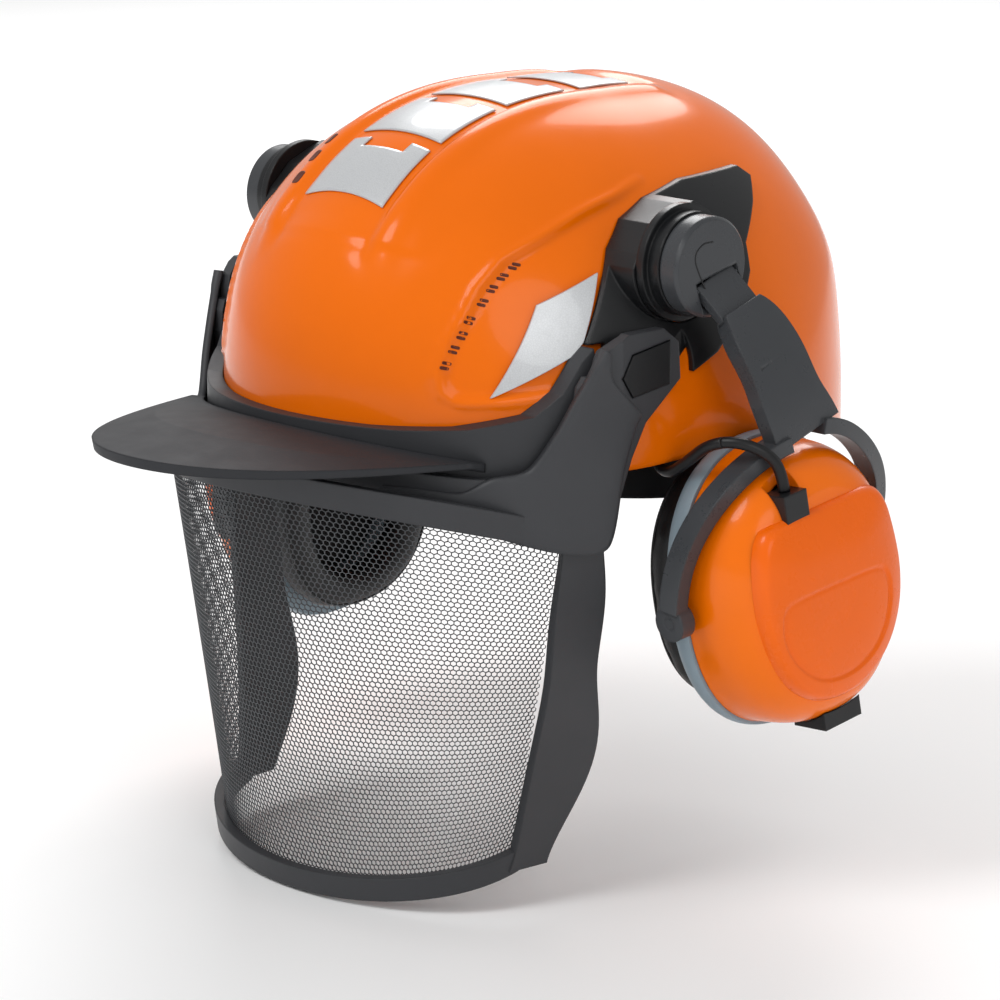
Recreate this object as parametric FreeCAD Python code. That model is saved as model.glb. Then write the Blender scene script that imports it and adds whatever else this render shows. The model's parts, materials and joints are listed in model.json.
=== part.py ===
import FreeCAD, Part
import math
import os
from FreeCAD import Vector as V

# Forestry helmet with a hinged mesh visor and two hinged ear defenders.
# Millimetres. The wearer looks along -Y, +X is the wearer's left and +Z is up.
# The origin is the middle of the head opening, level with the side rim.
os.makedirs("parts", exist_ok=True)

# ---------------------------------------------------------------- dimensions
SHELL_HALF_WIDTH = 113.0
SHELL_FRONT = 132.0
SHELL_REAR = 126.0
SHELL_CENTRE_Y = 2.2
CROWN_Z = 135.0
SHELL_WALL = 3.0
DOME_FRONT_POWER = 2.37
DOME_SIDE_POWER = 2.12
DOME_REAR_POWER = 2.73
SKIN_GAP = 0.4
RIM_PROFILE = [(-150, 12), (-100, 11), (-62, 3.5), (-30, 5.5), (0, 10), (30, 8),
               (68, -2), (105, -8), (150, -9)]

BAND_OFFSET = 6.5
BRACKET_OFFSET = 2.6

VISOR_PIVOT = V(0, -50, 42.6)
ARM_X0 = 107.6
ARM_X1 = 111.8
POCKET_X = 109.4
PIVOT_R = 6.0
RUNNING_GAP = 0.05
BUTTON_LINE = [(-40, 52), (-59, 49), (-64, 41), (-59, 33.5), (-40, 36)]
MESH_WALL = 0.7

HUB = V(0, -28, 79)
HUB_RING_R = 22.0
HUB_FACE_X = 103.9
HUB_CAP_R = 18.7
LINK_TOP = V(118.4, -25.2, 74.6)
LINK_END = V(137.6, -13.9, 48.0)
LINK_WIDTH = 20.0
LINK_THICKNESS = 3.6

CUP_CENTRE = V(119, 0, -43)
CUP_TILT = 4.0
CUP_ROLL = 8.0
RIGHT_SLIDE = 13.0

HEAD_RADIUS = 80.0
HEAD_CENTRE_Y = 18.0
HEAD_FRONT = 116.0
BAND_WALL = 1.6
STRAP_RADIUS = 82.4
STRAP_WALL = 1.6
RATCHET_Z = -15.0
PINION_R = 4.3
CLIP_ANGLES = [35, 90, 145, 215, 270, 325]

CABLE_R = 2.2
CABLE_INSET = -10.0
# Left cable, from the plug on the cup over the yoke and under the rim.
CABLE_ROUTE = [(152.48, -21.05, -1.04), (151.9, -22.2, 7.2), (149.6, -27.8, 14.2), (141.6, -35.0, 18.2),
               (130.6, -38.4, 15.8), (119.6, -38.0, 7.4), (109.4, -37.4, 0.6), (98.6, -33.4, 2.6),
               (95.2, -23.4, 10.6), (103.0, -11.0, 14.0), (103.0, -2.05, 14.0)]
REAR_JOINT = V(103, -2, 14)


# ------------------------------------------------------------------- helpers
def save(name, shape):
    """Write one node and say how large it is."""
    shape.exportStep("parts/%s.step" % name)
    print("%-22s solids %d volume %.1f valid %s" % (name, len(shape.Solids), shape.Volume, shape.isValid()))


def polygon(points):
    return Part.makePolygon(list(points) + [points[0]])


def prism_x(outline, x0, x1):
    """Solid with a side-view outline of (y, z) points between two X planes."""
    face = Part.Face(polygon([V(x0, y, z) for y, z in outline]))
    return face.extrude(V(x1 - x0, 0, 0))


def box(x0, x1, y0, y1, z0, z1):
    return Part.makeBox(x1 - x0, y1 - y0, z1 - z0, V(x0, y0, z0))


def smooth_loop(points):
    curve = Part.BSplineCurve()
    curve.interpolate(Points=points, PeriodicFlag=True)
    return Part.Wire([curve.toShape()])


def section_loft(sections):
    """Smooth bar through sections with straight sides."""
    return Part.makeLoft([polygon(s) for s in sections], True, False)


def mirrored(shape):
    return shape.mirror(V(0, 0, 0), V(1, 0, 0))


def both_sides(shape):
    return shape.fuse(mirrored(shape))


def one(shape):
    """The shape without splitter seams, as a single solid where it is one."""
    clean = shape.removeSplitter()
    if len(clean.Solids) == 1:
        return clean.Solids[0]
    return clean


def power(value, exponent):
    return math.copysign(abs(value) ** exponent, value)


def span(low, high, count):
    """Evenly spaced angles in radians between two angles in degrees."""
    return [math.radians(low + (high - low) * i / (count - 1)) for i in range(count)]


def blend(low, high, share):
    return low + (high - low) * max(0.0, min(1.0, share))


def pin_x(radius, x0, x1, centre):
    """Round bar along X."""
    return Part.makeCylinder(radius, x1 - x0, V(x0, centre.y, centre.z), V(1, 0, 0))


# ------------------------------------------------------------ shell surfaces
def plan_radius(theta, offset):
    """Plan radius of the shell at an angle from straight ahead towards +X."""
    half_length = SHELL_FRONT if math.cos(theta) > 0 else SHELL_REAR
    across = math.sin(theta) / SHELL_HALF_WIDTH
    along = math.cos(theta) / half_length
    return (across ** 2 + along ** 2) ** -0.5 + offset


def plan_point(theta, offset, z):
    radius = plan_radius(theta, offset)
    return V(radius * math.sin(theta), SHELL_CENTRE_Y - radius * math.cos(theta), z)


def dome_point(theta, z, offset):
    """Point of the shell's outer surface, moved out by offset, at height z."""
    cos = math.cos(theta)
    end_power = DOME_FRONT_POWER if cos > 0 else DOME_REAR_POWER
    exponent = end_power * cos ** 2 + DOME_SIDE_POWER * math.sin(theta) ** 2
    spring_z = 10.5 + 10.5 * cos
    shrink = 1.0
    if z > spring_z:
        rise = (z - spring_z) / (CROWN_Z + offset - spring_z)
        shrink = (1 - rise ** exponent) ** (1 / exponent)
    radius = plan_radius(theta, offset) * shrink
    return V(radius * math.sin(theta), SHELL_CENTRE_Y - radius * cos, z)


def dome(offset):
    """Closed solid inside the shell surface moved out by offset."""
    levels = [-40, -14, 8, 24, 42, 60, 76, 90, 102, 112, 120, 126.5, 131, 134.2]
    stretch = (CROWN_Z + offset - 24) / (CROWN_Z - 24)
    wires = []
    for level in levels:
        z = level if level <= 24 else 24 + (level - 24) * stretch
        angles = [2 * math.pi * i / 36 for i in range(36)]
        wires.append(smooth_loop([dome_point(a, z, offset) for a in angles]))
    return Part.makeLoft(wires, True, False)


def layer(low, high):
    return dome(high).cut(dome(low))


# ------------------------------------------------------------- helmet shell
def make_shell():
    rim = Part.BSplineCurve()
    rim.interpolate(Points=[V(-150, y, z) for y, z in RIM_PROFILE])
    front, rear = V(-150, -150, -60), V(-150, 150, -60)
    edges = [rim.toShape(), Part.makeLine(V(-150, *RIM_PROFILE[-1]), rear)]
    edges += [Part.makeLine(rear, front), Part.makeLine(front, V(-150, *RIM_PROFILE[0]))]
    below = Part.Face(Part.Wire(edges)).extrude(V(300, 0, 0))
    shell = layer(-SHELL_WALL, 0).cut(below)
    for index in range(3):
        y = -91 + 6.5 * index
        shell = shell.cut(box(-36 + 2 * index, -31 + 2 * index, y - 1.5, y + 1.5, 60, 140))
    seat = pin_x(HUB_RING_R + 0.6, HUB_FACE_X, 140, HUB)
    return one(shell.cut(both_sides(seat)))


def make_rim_band():
    """Dark band round the brow that the shell's front edge sits in."""
    outline = [(-160, 3), (-95, 4), (-88.6, 7.2), (-82.2, 16.6), (-75.8, 28.6), (-70.2, 38.4), (-66.8, 45.2)]
    outline += [(-67, 51), (-72, 46), (-79, 35), (-88, 27), (-106, 22.5), (-122, 21.5), (-160, 23)]
    return one(layer(SKIN_GAP, BAND_OFFSET).common(prism_x(outline, -140, 140)))


def make_bracket():
    """Left side plate that carries the visor pivot and the ear defender hub."""
    outline = [(-66, 51.5), (-56, 70), (-48, 84), (-38, 93.5), (-24, 99.5), (-3, 104), (32, 105), (37, 101)]
    outline += [(30, 93), (15, 80), (12, 70), (2, 58), (-14, 44), (-27, 38), (-37, 35), (-58, 34), (-60, 52)]
    region = prism_x(outline, 40, 140)
    plate = layer(SKIN_GAP, BRACKET_OFFSET).common(region)
    pad = pin_x(HUB_RING_R + 1, 61.6, HUB_FACE_X, HUB).common(region).cut(dome(SKIN_GAP))
    plate = plate.fuse(pad)
    for cutter in (pin_x(HUB_RING_R + 0.6, HUB_FACE_X, 140, HUB), pin_x(9.05, 101.2, 120, HUB),
                   pin_x(24, ARM_X0 - 0.4, 140, VISOR_PIVOT), pin_x(PIVOT_R, 104.9, 140, VISOR_PIVOT)):
        plate = plate.cut(cutter)
    return one(plate)


def make_pivot():
    """Fixed pin in the bracket that the visor arm turns on."""
    return pin_x(PIVOT_R, 105, POCKET_X - 0.3, VISOR_PIVOT)


def make_crown_reflectors():
    skin = layer(0.15, 0.7)
    group = []
    spans = [(-101, -76, 22, 21.5), (-71, -42, 22, 21.5), (-36, -5, 21.5, 21), (4, 31, 21, 20)]
    notch = 5
    for y0, y1, half0, half1 in spans:
        points = [V(-half0, y0, 80), V(half0, y0, 80), V(half1, y1, 80), V(half1 - 7, y1, 80)]
        points += [V(half1 - 9, y1 - notch, 80), V(9 - half1, y1 - notch, 80)]
        points += [V(7 - half1, y1, 80), V(-half1, y1, 80)]
        prism = Part.Face(polygon(points)).extrude(V(0, 0, 70))
        group.append(skin.common(prism).Solids[0])
    return Part.makeCompound(group)


def make_side_reflector():
    outline = [(-96, 33), (-78, 66), (-54.5, 76), (-66, 52), (-71, 47)]
    return one(layer(0.15, 0.7).common(prism_x(outline, 40, 140)))


# --------------------------------------------------------------- visor unit
def beam_section(theta):
    """Upright section of the beam, closer to the shell and taller at its ends."""
    to_side = (abs(math.degrees(theta)) - 36) / 18
    inner = blend(7.6, 4.6, to_side)
    outer = inner + 4.0
    top = blend(10.4, 5.0, (abs(math.degrees(theta)) - 12) / 25)
    top = top + 32.0 * max(0.0, (abs(math.degrees(theta)) - 46) / 13) ** 1.3
    lean = blend(0.0, 1.8, (abs(math.degrees(theta)) - 46) / 13)
    return [plan_point(theta, inner, -9), plan_point(theta, outer, -9),
            plan_point(theta, outer - lean, top), plan_point(theta, inner - lean, top)]


def make_visor_frame():
    """Beam across the brow with an arm at each end, set in towards the brow."""
    beam = section_loft([beam_section(theta) for theta in span(-59, 59, 41)])
    outline = [(-78, 30), (-77, 38), (-70, 51), (-61, 57), (-43, 57), (-35, 51), (-34, 37), (-52, 23)]
    outline += [(-59, 11), (-64, -1), (-66, -9), (-76, -9), (-75, 12)]
    slab = [(ARM_X0, -25), (ARM_X0, -62), (97.5, -82), (101.5, -84), (ARM_X1, -64), (ARM_X1, -25)]
    slab = Part.Face(polygon([V(x, y, -20) for x, y in slab])).extrude(V(0, 0, 90))
    keep = pin_x(21.5, 90, 120, VISOR_PIVOT).fuse(box(90, 120, -100, -30, -20, 42))
    arm = prism_x(outline, 90, 120).common(slab).common(keep)
    frame = beam.fuse(both_sides(arm))
    bore = pin_x(PIVOT_R + RUNNING_GAP, 90, 120, VISOR_PIVOT)
    pocket = prism_x(grown(BUTTON_LINE, 0.35), POCKET_X, 120)
    return one(frame.cut(both_sides(bore)).cut(both_sides(pocket)))


def grown(outline, margin):
    """The outline moved out from its own middle by about margin."""
    middle_y = sum(p[0] for p in outline) / len(outline)
    middle_z = sum(p[1] for p in outline) / len(outline)
    result = []
    for y, z in outline:
        reach = math.hypot(y - middle_y, z - middle_z)
        scale = (reach + margin * 1.3) / reach
        result.append((middle_y + (y - middle_y) * scale, middle_z + (z - middle_z) * scale))
    return result


def make_button():
    return prism_x(BUTTON_LINE, POCKET_X + 1.2, ARM_X1 + 0.6)


def peak_outer_y(x):
    return -206.0 + 88.0 * (x / 100) ** 2 + 97.6 * (x / 100) ** 4


def make_peak():
    """Crescent peak on top of the beam."""
    half = 80.0
    sections = []
    for step in range(-14, 15):
        x = half * step / 14
        side = (x / half) ** 2
        theta = math.asin(x / (SHELL_HALF_WIDTH + 8))
        inner_y = SHELL_CENTRE_Y - (SHELL_FRONT + 8) * math.cos(theta)
        outer_y = min(peak_outer_y(x), inner_y - 3)
        middle_y = (inner_y + outer_y) / 2
        root_z, tip_z = 19.0 - 8.5 * side, 17.0 - 5.0 * side
        wall = 4.0 - 1.6 * side
        sections.append([V(x, inner_y, root_z), V(x, middle_y, (root_z + tip_z) / 2 + 2.2 * (1 - side)),
                         V(x, outer_y, tip_z), V(x, outer_y + 0.8, tip_z - wall),
                         V(x, middle_y, (root_z + tip_z) / 2 + 2.2 * (1 - side) - wall),
                         V(x, inner_y, root_z - wall - 1)])
    return section_loft(sections)


def mesh_top(phi):
    """Upper edge of the mesh opening: phi 0 at the front, 90 degrees at a post."""
    return V(94 * power(math.sin(phi), 1.2), -75 - 89 * power(math.cos(phi), 1.2), -26 + 26 * math.cos(phi))


def mesh_bottom(phi):
    return V(76.5 * math.sin(phi), -82 - 49 * math.cos(phi), -139 - 15 * math.cos(phi))


def above_mesh(distance):
    """Edge curve a distance beyond the opening's upper edge."""
    return lambda phi: mesh_top(phi) + (mesh_top(phi) - mesh_bottom(phi)).normalize() * distance


def below_mesh(distance):
    return lambda phi: mesh_bottom(phi) + (mesh_bottom(phi) - mesh_top(phi)).normalize() * distance


def ribbon(phis, low_edge, high_edge, inner, outer):
    """Bar between two edge curves, thick from inner to outer."""
    sections = []
    for phi in phis:
        a, b, n = low_edge(phi), high_edge(phi), V(math.sin(phi), -math.cos(phi), 0)
        sections.append([a + n * inner, b + n * inner, b + n * outer, a + n * outer])
    return section_loft(sections)


def make_mesh_frame():
    """Frame round the mesh: upper bar, two posts and the lower rim."""
    upper = ribbon(span(-86, 86, 21), mesh_top, above_mesh(10.5), 0.6, 4.2)
    lower = ribbon(span(-86, 86, 21), below_mesh(9.5), mesh_bottom, 0.6, 5.0)
    stations = [(-10.5, 105.5, -66, 99, -83), (-33, 100.5, -61.5, 95.5, -79.5), (-49, 96, -57, 94, -80.5),
                (-75, 92, -57, 91.5, -81), (-98, 89.5, -53.5, 87.5, -83), (-127, 84, -60, 83, -86.5),
                (-149, 81.5, -73, 80, -91)]
    sections = []
    for z, rear_x, rear_y, front_x, front_y in stations:
        rear, front = V(rear_x, rear_y, z), V(front_x, front_y, z)
        inward = V(front_y - rear_y, rear_x - front_x, 0).normalize() * 3.6
        sections.append([rear, front, front + inward, rear + inward])
    post = section_loft(sections)
    return one(upper.fuse(lower).fuse(post).fuse(mirrored(post)))


def make_mesh():
    """Curved sheet of woven mesh, seated behind the frame."""
    return ribbon(span(-84, 84, 31), below_mesh(4), above_mesh(4), -0.2, -0.2 + MESH_WALL)


# ------------------------------------------------------------------- ear unit
def cup_place(shape):
    """Move a shape from the cup's own frame (X out, Y back, Z up) to the helmet."""
    result = shape.copy()
    result.rotate(V(0, 0, 0), V(0, 1, 0), -CUP_TILT)
    result.rotate(V(0, 0, 0), V(1, 0, 0), CUP_ROLL)
    result.translate(CUP_CENTRE)
    return result


def oval(x, half_width, half_height):
    """Oval section, slightly squarer than an ellipse."""
    points = []
    for i in range(24):
        a = 2 * math.pi * i / 24
        points.append(V(x, half_width * power(math.cos(a), 0.88), half_height * power(math.sin(a), 0.88)))
    return smooth_loop(points)


def oval_solid(sections, straight=False):
    """Solid through oval sections, smooth or with straight sides between them."""
    return Part.makeLoft([oval(*s) for s in sections], True, straight)


PLUG_BOX = (31, 42, -21, -9, 30, 42)
PLUG_ROOM = (31, 60, -21, -9, 30, 60)
YOKE_PIVOT_X = 8.0


def make_ear_plate():
    """Mounting ring of the cup with the two stubs it tilts on."""
    ring = oval_solid([(0, 46, 55), (3, 47, 56), (7.7, 46.5, 55.5)])
    ring = ring.cut(oval_solid([(-1, 30, 39), (9, 30, 39)]))
    for side in (-1, 1):
        ring = ring.fuse(Part.makeCylinder(2.5, 8.6, V(YOKE_PIVOT_X, 46 * side, 0), V(0, side, 0)))
    return one(ring)


CUP_SECTIONS = [(8, 45.5, 54.5), (18, 44.5, 53.5), (30, 41.5, 50.5), (37, 36, 45), (40, 29, 38)]


def make_cup_shell():
    outer = oval_solid(CUP_SECTIONS)
    inner = oval_solid([(7, 43, 52), (18, 42, 51), (29, 38, 47), (35, 31.5, 40.5), (37.4, 26, 35)])
    return one(outer.cut(inner).cut(box(*PLUG_ROOM)))


def make_cup_cover():
    """Raised outer panel of the cup."""
    outer = oval_solid([(35, 39.6, 43.6), (40, 38.4, 42.6), (44, 34.6, 39), (46, 28, 33)], True)
    under = oval_solid([(x + 0.5, a + 0.75, b + 0.75) for x, a, b in CUP_SECTIONS], True)
    return one(outer.cut(under).cut(box(*PLUG_ROOM)).cut(box(20, 60, -60, 60, 33.5, 80)))


def make_cushion():
    outer = oval_solid([(-19, 35, 42.5), (-17, 41, 48.5), (-9, 44, 51.3), (-3, 43, 50.3), (-0.4, 40, 47.5)])
    hole = oval_solid([(-20, 25, 34), (-10, 22, 31), (0, 24, 33)])
    return one(outer.cut(hole))


def make_foam():
    return oval_solid([(0.6, 28, 37), (3, 29, 38), (6.5, 29, 38)])


def make_speaker():
    basket = Part.makeCone(20, 12, 8, V(9, 0, 4), V(1, 0, 0))
    return one(basket.fuse(Part.makeCylinder(11, 5, V(17, 0, 4), V(1, 0, 0))))


def make_plug():
    """Strain-relief block where the cable enters the cup."""
    x0, x1, y0, y1, z0, z1 = PLUG_BOX
    gap = 0.05
    return box(x0 + gap, x1 - gap, y0 + gap, y1 - gap, z0 + gap, z1)


def socket(radius):
    """Way in for an audio plug, up through the bottom of the left cup."""
    return Part.makeCylinder(radius, 16, V(26, -2, -57), V(0, 0, 1))


def make_control_panel():
    """Block under the left cup with the audio socket and a button recess in it."""
    block = box(18, 34, -8, 12, -55, -40)
    keep_off = oval_solid([(x, a + 0.5, b + 0.5) for x, a, b in CUP_SECTIONS])
    block = one(block.cut(keep_off))
    recess = Part.makeCylinder(3.05, 2.2, V(26, 6.6, -55.1), V(0, 0, 1))
    block = block.fuse(Part.makeCylinder(3.6, 11, V(26, -2, -55), V(0, 0, 1)))
    return one(block.cut(socket(1.8)).cut(recess))


def make_power_button():
    return Part.makeCylinder(3.0, 1.6, V(26, 6.6, -55.6), V(0, 0, 1))


def make_circuit_board():
    return box(29, 30.2, -22, 22, -28, -6)


def make_battery():
    return box(21, 28, -20, 20, -34, -22)


def rect_section(point, axis, across, width, thickness):
    """Rectangle square to axis, with its width as near to across as it can be."""
    wide = (across - axis * across.dot(axis)).normalize()
    normal = axis.cross(wide).normalize()
    w, t = wide * (width / 2), normal * (thickness / 2)
    return [point - w - t, point + w - t, point + w + t, point - w + t]


SLIDE_AXIS = (LINK_END - LINK_TOP).normalize()
ARM_ACROSS = V(0, math.cos(math.radians(14)), math.sin(math.radians(14)))


def straight_bar(start, end, width, thickness):
    axis = (end - start).normalize()
    ends = [rect_section(p, axis, ARM_ACROSS, width, thickness) for p in (start, end)]
    return Part.makeLoft([polygon(s) for s in ends], True, True)


def bent_bar(points, widths, thicknesses, across):
    """Smooth bar of rectangular section through points."""
    sections = []
    last = len(points) - 1
    for i, point in enumerate(points):
        axis = (points[min(i + 1, last)] - points[max(i - 1, 0)]).normalize()
        sections.append(rect_section(point, axis, across, widths[i], thicknesses[i]))
    return section_loft(sections)


def make_hub_ring():
    """Turning base that snaps into the bracket."""
    base = HUB_FACE_X + 0.3
    ring = pin_x(HUB_RING_R, base, 107.5, HUB).fuse(pin_x(19.5, 107.5, 113, HUB))
    return one(ring.fuse(pin_x(9.0, 101.4, base, HUB)))


def swing_pin(radius, length):
    """Round bar through the link's top end, along the swing axis."""
    start = LINK_TOP + SLIDE_AXIS * 2.2 - ARM_ACROSS * (length / 2)
    return Part.makeCylinder(radius, length, start, ARM_ACROSS)


def make_hub_cap():
    """Cap with a slot that leaves the link room for its whole swing."""
    cap = pin_x(HUB_CAP_R, 113.2, 121.5, HUB)
    rim_edges = [e for e in cap.Edges if e.BoundBox.XMin > 121.4]
    top, away = LINK_TOP - SLIDE_AXIS * 1.2, LINK_TOP + SLIDE_AXIS * 30
    slot = straight_bar(top, away, LINK_WIDTH + 2, LINK_THICKNESS + 3.4)
    return one(cap.makeChamfer(1.2, rim_edges).cut(slot).cut(swing_pin(1.25, 26)))


def make_swing_link():
    return one(straight_bar(LINK_TOP, LINK_END, LINK_WIDTH, LINK_THICKNESS).cut(swing_pin(1.25, 40)))


def make_swing_pin():
    return swing_pin(1.2, 25)


def make_arm():
    """Arm that slides on the link and forks round the cup."""
    spine = [V(127.6, -20.2, 63.4), V(130.6, -19, 59.6), V(134.6, -17, 53.2), V(139, -13.2, 43),
             V(142.8, -8.7, 29), V(144.1, -4, 19.5), V(144.3, -3, 16.5)]
    arm = bent_bar(spine, [19, 24, 27.5, 29, 31, 34, 36], [7.2, 7.6, 7.6, 7, 6.4, 6, 6], ARM_ACROSS)
    front = [V(144.3, -12, 14.5), V(142.6, -23, 10.8), V(138.6, -36, 1.5),
             V(133.4, -46.8, -13), V(129, -52, -30), V(127.5, -53.2, -46)]
    rear = [V(144.3, 5, 18.5), V(143.7, 18, 15.5), V(141.5, 32, 6.5),
            V(137.5, 43.5, -6), V(132.5, 50, -20), V(128.5, 52.6, -36)]
    leg = [9] * 6, [6] * 6, V(1, 0, 0)
    yoke = bent_bar(front, *leg).fuse(bent_bar(rear, *leg))
    room = oval_solid([(-1, 46.6, 55.6), (3, 47.6, 56.6), (7.8, 47.2, 56.2), (18, 45.6, 54.6), (28, 43, 52)])
    for side in (-1, 1):
        boss = Part.makeCylinder(7, 6.5, V(YOKE_PIVOT_X, 48.6 * side, 0), V(0, side, 0))
        yoke = yoke.fuse(cup_place(boss))
        room = room.fuse(Part.makeCylinder(2.55, 10, V(YOKE_PIVOT_X, 45 * side, 0), V(0, side, 0)))
    pocket = straight_bar(LINK_TOP, LINK_END + SLIDE_AXIS * 3.5, LINK_WIDTH + 0.8, LINK_THICKNESS + 0.6)
    return one(arm.fuse(yoke).cut(pocket).cut(cup_place(room)))


def slide_right(shape):
    """Right ear defender: mirrored, with its arm drawn out along the link."""
    result = mirrored(shape)
    result.translate(V(-SLIDE_AXIS.x, SLIDE_AXIS.y, SLIDE_AXIS.z) * RIGHT_SLIDE)
    return result


def make_cup_nodes():
    nodes = {
        "ear_plate": make_ear_plate(),
        "cup_shell": make_cup_shell(),
        "cup_cover": make_cup_cover(),
        "ear_cushion": make_cushion(),
        "foam_insert": make_foam(),
        "speaker": make_speaker(),
        "cable_plug": make_plug(),
    }
    return {name: cup_place(shape) for name, shape in nodes.items()}


# ---------------------------------------------------------------- suspension
def head_point(phi, outward, z):
    """Point on the headband's line, phi from straight ahead towards +X."""
    half_length = HEAD_FRONT if math.cos(phi) > 0 else HEAD_RADIUS
    radius = (((math.sin(phi) / HEAD_RADIUS) ** 2 + (math.cos(phi) / half_length) ** 2) ** -0.5) + outward
    return V(radius * math.sin(phi), HEAD_CENTRE_Y - radius * math.cos(phi), z)


def band_low(phi):
    return -20 + 14 * max(0.0, math.cos(phi)) ** 2


def head_ribbon(phis, inner, outer, low, high):
    sections = []
    for phi in phis:
        z0, z1 = low(phi), high(phi)
        sections.append([head_point(phi, inner, z0), head_point(phi, outer, z0),
                         head_point(phi, outer, z1), head_point(phi, inner, z1)])
    return section_loft(sections)


def make_headband():
    return head_ribbon(span(-132, 132, 45), 0, BAND_WALL, band_low,
                       lambda phi: 21 + 5 * max(0.0, math.cos(phi)))


def make_sweatband():
    return head_ribbon(span(-78, 78, 31), -4.4, -0.3, lambda phi: band_low(phi) + 1,
                       lambda phi: 20 + 5 * max(0.0, math.cos(phi)))


def make_rear_strap(side):
    """Strap end that runs through the ratchet; the left one uses the upper row."""
    near_row = (-10.4, -3.4) if side > 0 else (-26.6, -19.6)
    sections = []
    for phi in span(112, 190, 21):
        share = (math.degrees(phi) - 112) / 36
        low, high = blend(-19, near_row[0], share), blend(8, near_row[1], share)
        radii = (STRAP_RADIUS - HEAD_RADIUS, STRAP_RADIUS + STRAP_WALL - HEAD_RADIUS)
        corners = ((radii[0], low), (radii[1], low), (radii[1], high), (radii[0], high))
        sections.append([head_point(phi * side, r, z) for r, z in corners])
    return section_loft(sections)


def make_ratchet_housing():
    body = head_ribbon(span(162, 198, 13), 0.9, 8.0, lambda phi: -31, lambda phi: 1)
    channel = head_ribbon(span(156, 204, 13), 2.0, 4.6, lambda phi: -28.4, lambda phi: -1.6)
    shaft_hole = Part.makeCylinder(3.1, 20, V(0, HEAD_CENTRE_Y + HEAD_RADIUS + 3, RATCHET_Z), V(0, 1, 0))
    return one(body.cut(channel).cut(shaft_hole))


def make_knob():
    """Ribbed ratchet knob with its shaft."""
    y0 = HEAD_CENTRE_Y + HEAD_RADIUS + 8.4
    knob = Part.makeCylinder(16, 10, V(0, y0, RATCHET_Z), V(0, 1, 0))
    for i in range(18):
        a = 2 * math.pi * i / 18
        groove = V(16.6 * math.cos(a), y0 + 2, RATCHET_Z + 16.6 * math.sin(a))
        knob = knob.cut(Part.makeCylinder(1.6, 12, groove, V(0, 1, 0)))
    shaft = Part.makeCylinder(3.0, 6.3, V(0, y0 - 6.1, RATCHET_Z), V(0, 1, 0))
    return one(knob.fuse(shaft))


def make_pinion():
    y0 = HEAD_CENTRE_Y + HEAD_RADIUS + 2.3
    pinion = Part.makeCylinder(PINION_R, 2.0, V(0, y0, RATCHET_Z), V(0, 1, 0))
    return pinion.cut(Part.makeCylinder(3.0, 3.0, V(0, y0 - 0.5, RATCHET_Z), V(0, 1, 0)))


def make_nape_pad():
    return head_ribbon(span(160, 200, 13), -3.6, 0.6, lambda phi: -30, lambda phi: 0)


def cradle(outward):
    """Closed solid inside the surface that the crown straps lie on."""
    wires = []
    for rise in span(-6, 82, 10):
        loop = []
        for phi in span(0, 350, 36):
            edge = head_point(phi, 4.2, 0) - V(0, HEAD_CENTRE_Y, 0)
            reach = (edge.Length * math.cos(rise) + outward) / edge.Length
            height = 29 + (66 + outward) * math.sin(rise)
            loop.append(V(edge.x * reach, HEAD_CENTRE_Y + edge.y * reach, height))
        wires.append(smooth_loop(loop))
    return Part.makeLoft(wires, True, False)


def make_crown_straps():
    """Three webbing straps sewn together at the crown."""
    star = Part.makeCylinder(9, 90, V(0, HEAD_CENTRE_Y, 25), V(0, 0, 1))
    for angle in CLIP_ANGLES[:3]:
        strap = Part.makeBox(18, 260, 90, V(-9, -130, 25))
        strap.rotate(V(0, 0, 0), V(0, 0, 1), angle)
        strap.translate(V(0, HEAD_CENTRE_Y, 0))
        star = star.fuse(strap)
    return one(cradle(1.2).cut(cradle(0)).common(star))


def make_crown_pad():
    return Part.makeCylinder(22, 5, V(0, HEAD_CENTRE_Y, 86), V(0, 0, 1))


def make_harness_clips():
    """Six clips that hang the headband and the straps from the shell."""
    inside = dome(-SHELL_WALL - 0.3)
    keep_off = cradle(1.5)
    clips = []
    for angle in CLIP_ANGLES:
        phi = math.radians(angle)
        inner = head_point(phi, 5.4, 0)
        out = V(math.sin(phi), -math.cos(phi), 0)
        across = V(out.y, -out.x, 0) * 9
        corners = [inner - across, inner + across, inner + across + out * 60, inner - across + out * 60]
        base = [V(p.x, p.y, 17) for p in corners]
        block = Part.Face(polygon(base)).extrude(V(0, 0, 10.5))
        clips.append(block.common(inside).cut(keep_off).Solids[0])
    return Part.makeCompound(clips)


# --------------------------------------------------------------------- cable
def tube(points, radius):
    """Round tube along straight runs joined by tangent arcs, as large as the runs allow."""
    points = [V(*p) for p in points]
    edges, cursor, radii = [], points[0], []
    for before, corner, after in zip(points, points[1:], points[2:]):
        into, out = (corner - before), (after - corner)
        shorter = min(into.Length, out.Length)
        turn = into.getAngle(out)
        trim = 0.45 * shorter
        radii.append(trim / math.tan(turn / 2))
        start = corner - into.normalize() * trim
        end = corner + out.normalize() * trim
        bisector = (start + end) * 0.5 - corner
        middle = corner + bisector.normalize() * (radii[-1] / math.cos(turn / 2) - radii[-1])
        edges.append(Part.makeLine(cursor, start))
        edges.append(Part.Arc(start, middle, end).toShape())
        cursor = end
    edges.append(Part.makeLine(cursor, points[-1]))
    path = Part.Wire(edges)
    profile = Part.Wire([Part.makeCircle(radius, points[0], points[1] - points[0])])
    solid = path.makePipeShell([profile], True, False)
    expected = math.pi * radius ** 2 * path.Length
    ratio = solid.Volume / expected
    print("   tube length %.1f, least radius %.1f, volume ratio %.4f" % (path.Length, min(radii), ratio))
    return solid


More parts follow.
